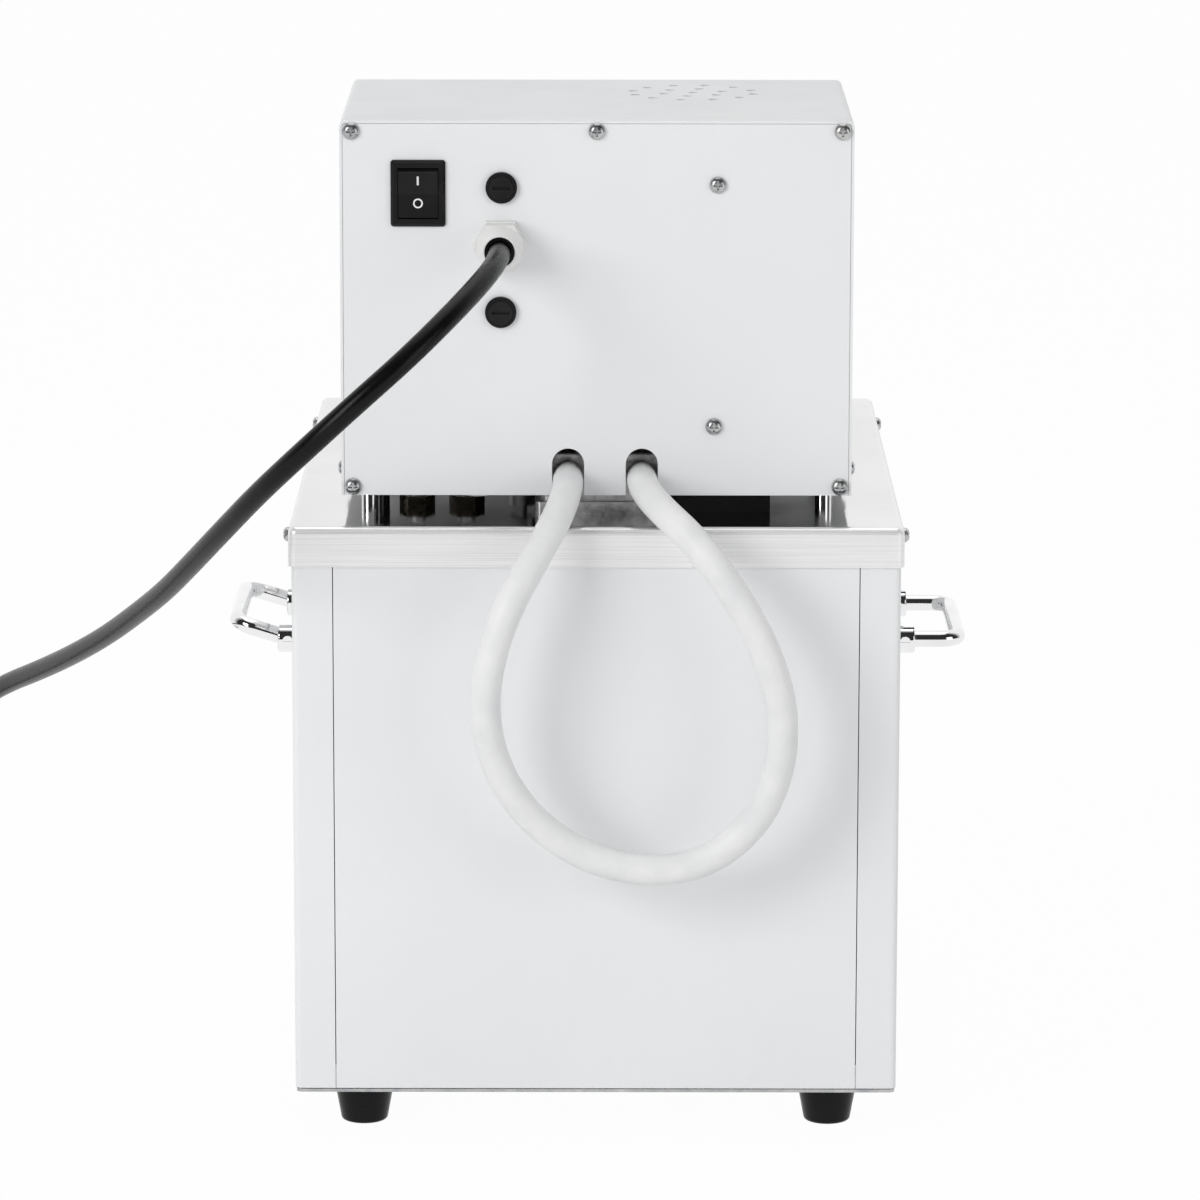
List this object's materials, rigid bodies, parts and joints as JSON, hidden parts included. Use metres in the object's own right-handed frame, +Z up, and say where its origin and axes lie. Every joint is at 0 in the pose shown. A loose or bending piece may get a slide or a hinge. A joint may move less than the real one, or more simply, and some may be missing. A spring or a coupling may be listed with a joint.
{
  "type": "circulating oil bath",
  "caption": "Bench circulating oil bath with a lidded heated tank, a pump and control head on posts, a looped circulation hose, folding handles and a mains lead.",
  "frame": {"origin": "middle of the footprint, on the surface the feet stand on", "axes": "+Z up, -Y towards the service side with switch and hose, +X to the right seen from there"},
  "size_m": [0.7212, 0.5149, 0.486],
  "materials": {
    "painted_white": "fine satin powder coat",
    "stainless_brushed": "brushed skirt and polished deck",
    "stainless_plain": "mill finish",
    "chrome": "bright plating",
    "zinc": "bright zinc plating",
    "cast_alloy": "as cast",
    "black_plastic": "moulded, fine texture",
    "black_gloss": "moulded, glossy",
    "white_nylon": "natural nylon",
    "black_rubber": "moulded rubber",
    "silicone": "translucent white silicone",
    "brass": "nickel-free brass",
    "wool": "mineral wool",
    "glass_dark": "tinted window",
    "glass_clear": "clear tube",
    "board_green": "circuit board",
    "motor_grey": "grey enamel",
    "key_grey": "moulded"
  },
  "bodies": {
    "bath": {"feet": "black_rubber", "bottom_tray": "zinc", "case_shell": "painted_white", "rear_panel": "painted_white", "deck": "stainless_brushed", "tank": "stainless_plain", "insulation": "wool", "lid": "stainless_brushed", "lid_knob": "black_plastic", "head_posts": "chrome", "head_base": "painted_white", "head_cover": "painted_white", "head_back_panel": "painted_white", "head_front_panel": "painted_white", "head_screws": "zinc", "side_screws": "zinc", "case_screws": "zinc", "relay_plate": "cast_alloy", "solid_state_relay": "black_plastic", "pump_motor": "motor_grey", "motor_base": "black_plastic", "pump_housing": "stainless_plain", "port_block": "cast_alloy", "hose_spigots": "brass", "port_pipes": "stainless_plain", "heater": "stainless_plain", "heater_bushings": "brass", "temperature_probe": "stainless_plain", "lead_sleeve": "black_rubber", "cable_bushing": "white_nylon", "switch_housing": "black_gloss", "fuse_holders": "black_gloss", "fuses": "glass_clear", "panel_nuts": "white_nylon", "gland_body": "white_nylon", "gland_nut": "white_nylon", "gland_seal": "black_rubber", "control_bezel": "black_plastic", "display": "glass_dark", "control_board": "board_green", "handle_bosses": "chrome", "handle_pins": "chrome", "hose": "silicone", "power_cord": "black_rubber", "cord_coil": "black_rubber", "cord_tail": "black_rubber", "plug_body": "black_plastic", "plug_pins": "brass"},
    "pump_rotor": {"motor_shaft": "stainless_plain", "cooling_fan": "black_plastic", "pump_impeller": "stainless_plain"},
    "main_rocker": {"switch_rocker": "black_gloss"},
    "upper_fuse_cap": {"fuse_cap_upper": "black_plastic"},
    "lower_fuse_cap": {"fuse_cap_lower": "black_plastic"},
    "right_handle": {"right_bail": "chrome"},
    "left_handle": {"left_bail": "chrome"},
    "set_key": {"key_1": "key_grey"},
    "shift_key": {"key_2": "key_grey"},
    "down_key": {"key_3": "key_grey"},
    "up_key": {"key_4": "key_grey"}
  },
  "joints": [
    {"name": "pump_spin", "type": "hinge", "parent": "bath", "child": "pump_rotor", "pos_m": [0.0466, -0.0485, 0.27], "axis": [0, 0, 1], "continuous": true},
    {"name": "rocker_tip", "type": "hinge", "parent": "bath", "child": "main_rocker", "pos_m": [-0.0837, -0.1605, 0.4519], "axis": [1, 0, 0], "range_deg": [-20, 0]},
    {"name": "upper_cap_turn", "type": "hinge", "parent": "bath", "child": "upper_fuse_cap", "pos_m": [-0.0447, -0.161, 0.4546], "axis": [0, -1, 0], "range_deg": [0, 90]},
    {"name": "lower_cap_turn", "type": "hinge", "parent": "bath", "child": "lower_fuse_cap", "pos_m": [-0.0451, -0.161, 0.3957], "axis": [0, -1, 0], "range_deg": [0, 90]},
    {"name": "right_fold", "type": "hinge", "parent": "bath", "child": "right_handle", "pos_m": [0.1522, 0, 0.215], "axis": [0, -1, 0], "range_deg": [0, 90]},
    {"name": "left_fold", "type": "hinge", "parent": "bath", "child": "left_handle", "pos_m": [-0.1522, 0, 0.215], "axis": [0, 1, 0], "range_deg": [-17, 73]},
    {"name": "set_press", "type": "slide", "parent": "bath", "child": "set_key", "axis": [0, -1, 0], "range_m": [0, 0.0008], "stiffness_N_per_m": 400, "springref_m": -0.001},
    {"name": "shift_press", "type": "slide", "parent": "bath", "child": "shift_key", "axis": [0, -1, 0], "range_m": [0, 0.0008], "stiffness_N_per_m": 400, "springref_m": -0.001},
    {"name": "down_press", "type": "slide", "parent": "bath", "child": "down_key", "axis": [0, -1, 0], "range_m": [0, 0.0008], "stiffness_N_per_m": 400, "springref_m": -0.001},
    {"name": "up_press", "type": "slide", "parent": "bath", "child": "up_key", "axis": [0, -1, 0], "range_m": [0, 0.0008], "stiffness_N_per_m": 400, "springref_m": -0.001}
  ]
}
